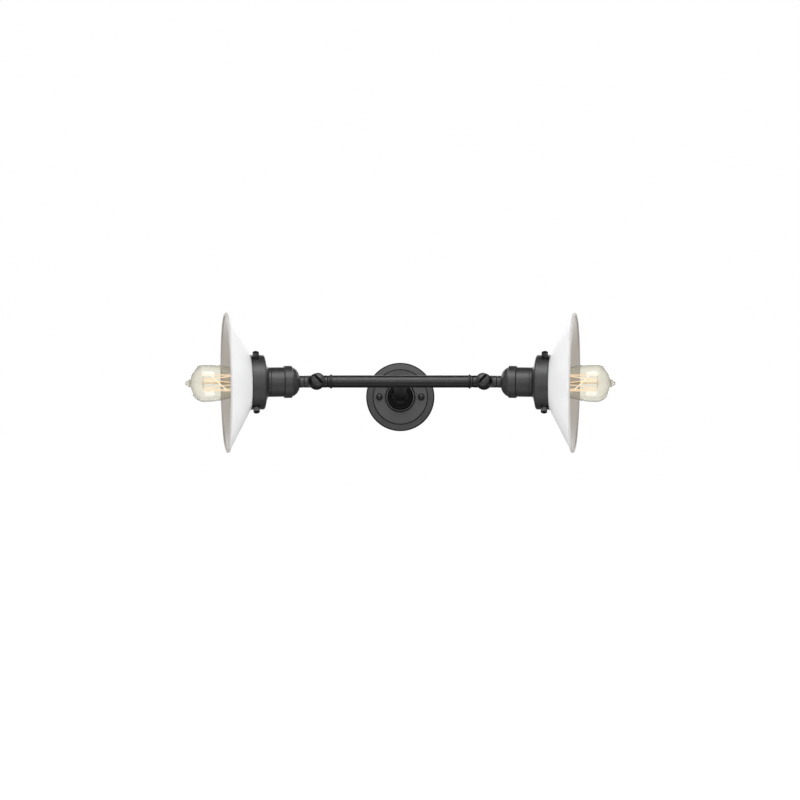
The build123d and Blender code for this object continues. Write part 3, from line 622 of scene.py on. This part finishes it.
def crossing_strand(side, start, end):
    """A thin tube along a sagging curve between two points."""
    pulls = [start.lerp(end, share) + CROSSING_SAG for share in (1 / 3, 2 / 3)]
    line = interpolate_bezier(start, *pulls, end, CROSSING_STEPS)
    turns = [2 * math.pi * step / CROSSING_SIDES for step in range(CROSSING_SIDES)]
    tube = bmesh.new()
    rings = []
    for before, here, after in zip([start] + line, line, line[1:] + [end]):
        along = (after - before).normalized()
        across = along.cross(ROOMWARD).normalized() * CROSSING_RADIUS
        lift = along.cross(across)
        rings.append([tube.verts.new(here + across * math.cos(a) + lift * math.sin(a)) for a in turns])
    for first, second in zip(rings, rings[1:]):
        for step in range(CROSSING_SIDES):
            tube.faces.new((first[step - 1], first[step], second[step], second[step - 1]))
    tube.faces.new(rings[0])
    tube.faces.new(rings[-1])
    finished_piece(tube, side + "_crossing_strand", "bright_wire", side + "_head")


for side, (start, end) in ends.items():
    crossing_strand(side, start, end)
print("strands cross", len(ends), "cages")

# %% [markdown]
# ## Studio
# The light is shown on pure white with no shadow. A pale floor lies far below, and the world is white
# where the camera or a see-through piece looks at it. Reflections see a darker room instead, so that the
# round metal gets its dark edges, as it does between black flags in a studio. Straight behind the light
# that room is paler. From the front no face is turned enough to show it, but the back of the plate does.

# %% Pale floor
FLOOR_DROP = 1.3
FLOOR_REACH = 30.0
FLOOR_CLOUD = 0.5
bpy.ops.mesh.primitive_plane_add(size=2 * FLOOR_REACH, location=(0, 0, -FLOOR_DROP))
floor = bpy.context.object
floor.name = "pale_floor"
pale = Finish(bpy.data.materials.new("pale_floor_finish"))
floor.data.materials.append(pale.surface(
    Base_Color=pale.mix(pale.noise(FLOOR_CLOUD, detail=2.0), grey(0.90), grey(0.94)),
    Roughness=0.8,
    Emission_Color=grey(1.0),
    Emission_Strength=1.0))
floor.visible_diffuse = False
floor.visible_glossy = False
print("floor", FLOOR_DROP, "m below the wall plate")

# %% World that is white to look at and dark in reflections
AMBIENT = 0.42
DARK_ROOM = 0.015
BACK_ROOM = 0.45
BACK_FROM = 0.72
studio = bpy.data.worlds.new("studio")
bpy.context.scene.world = studio
room = Finish(studio)
seen = room.node("LightPath", output="Is Camera Ray")
through = room.node("LightPath", output="Is Transmission Ray")
lit = room.node("LightPath", output="Is Diffuse Ray")
backward = room.along(room.node("TexCoord", output="Generated"), "Y")
mirrored_room = room.mix(room.between(backward, BACK_FROM, 1.0), grey(DARK_ROOM), grey(BACK_ROOM))
unseen = room.mix(lit, mirrored_room, grey(AMBIENT))
colour = room.mix(seen + through, unseen, grey(1.0))
room.node("OutputWorld", sockets={"Surface": room.node("Background", sockets={"Color": colour})})
print("world ready")

# %% [markdown]
# ## Softboxes and cards
# The highlight on the bar sits a little more than halfway up its side, so the key light hangs steeply
# above and in front. A weaker one lies below, and both stand close to the middle of the bar. From there
# they reach the outsides of the two shades but not the insides, which stay in the shade of the glass.
# Two bounces fill the white glass only, and three cards behind show only in the metal, so that it keeps
# its shape when we walk round to the back. Ray visibility makes that choice for each light. Two small
# strips put the window-like highlights on the bulbs; light linking keeps them off everything else.

# %% Hang the softboxes
AIM = Vector((0, BAR_PLANE, 0.02))


def softbox(name, turn, rise, distance, size, power, matte=True, mirrored=True, only=None):
    """A light seen from the bar at a turn round it from the camera's side and at a rise above it."""
    light = bpy.data.lights.new(name, "AREA")
    light.shape = "RECTANGLE"
    light.size, light.size_y = size
    light.energy = power
    box = bpy.data.objects.new(name, light)
    turn, rise = math.radians(turn), math.radians(rise)
    level = Vector((math.sin(turn), -math.cos(turn), 0))
    box.location = AIM + distance * (level * math.cos(rise) + Vector((0, 0, math.sin(rise))))
    box.rotation_euler = (AIM - box.location).to_track_quat("-Z", "Y").to_euler()
    box.visible_camera = False
    box.visible_transmission = False
    box.visible_diffuse = matte
    box.visible_glossy = mirrored
    box.light_linking.receiver_collection = only
    bpy.context.collection.objects.link(box)


softbox("key_softbox", 0, 55, 0.85, (1.3, 0.46), 5.0)
softbox("low_softbox", 0, -60, 0.85, (1.3, 0.40), 0.6)
softbox("front_softbox", 0, 6, 2.6, (1.6, 1.2), 7.0)
softbox("high_bounce", 0, 45, 0.80, (0.5, 0.5), 0.9, mirrored=False)
softbox("low_bounce", 0, -42, 0.80, (0.5, 0.5), 4.2, mirrored=False)
softbox("back_card", 180, 14, 2.4, (1.6, 1.2), 16.0, matte=False)
softbox("right_card", 138, 6, 2.0, (0.8, 1.6), 11.0, matte=False)
softbox("left_card", -138, 6, 2.0, (0.8, 1.6), 11.0, matte=False)
print("softboxes, bounces and cards lit")

# %% Light the bulbs alone
lit_bulbs = bpy.data.collections.new("lit_bulbs")
for bulb in bulbs:
    lit_bulbs.objects.link(bulb)

softbox("high_strip", 0, 64, 0.9, (0.55, 0.36), 1.9, only=lit_bulbs)
softbox("low_strip", 0, -68, 0.9, (0.55, 0.50), 2.9, only=lit_bulbs)
print("strips lit for", len(bulbs), "bulbs")

# %% [markdown]
# ## Colour
# Blender's usual view transform greys a white background to save the highlights. On pure white that looks
# dull, so the plain Standard one is chosen.

# %% Colour handling
bpy.context.scene.view_settings.view_transform = "Standard"
print("view transform", bpy.context.scene.view_settings.view_transform)
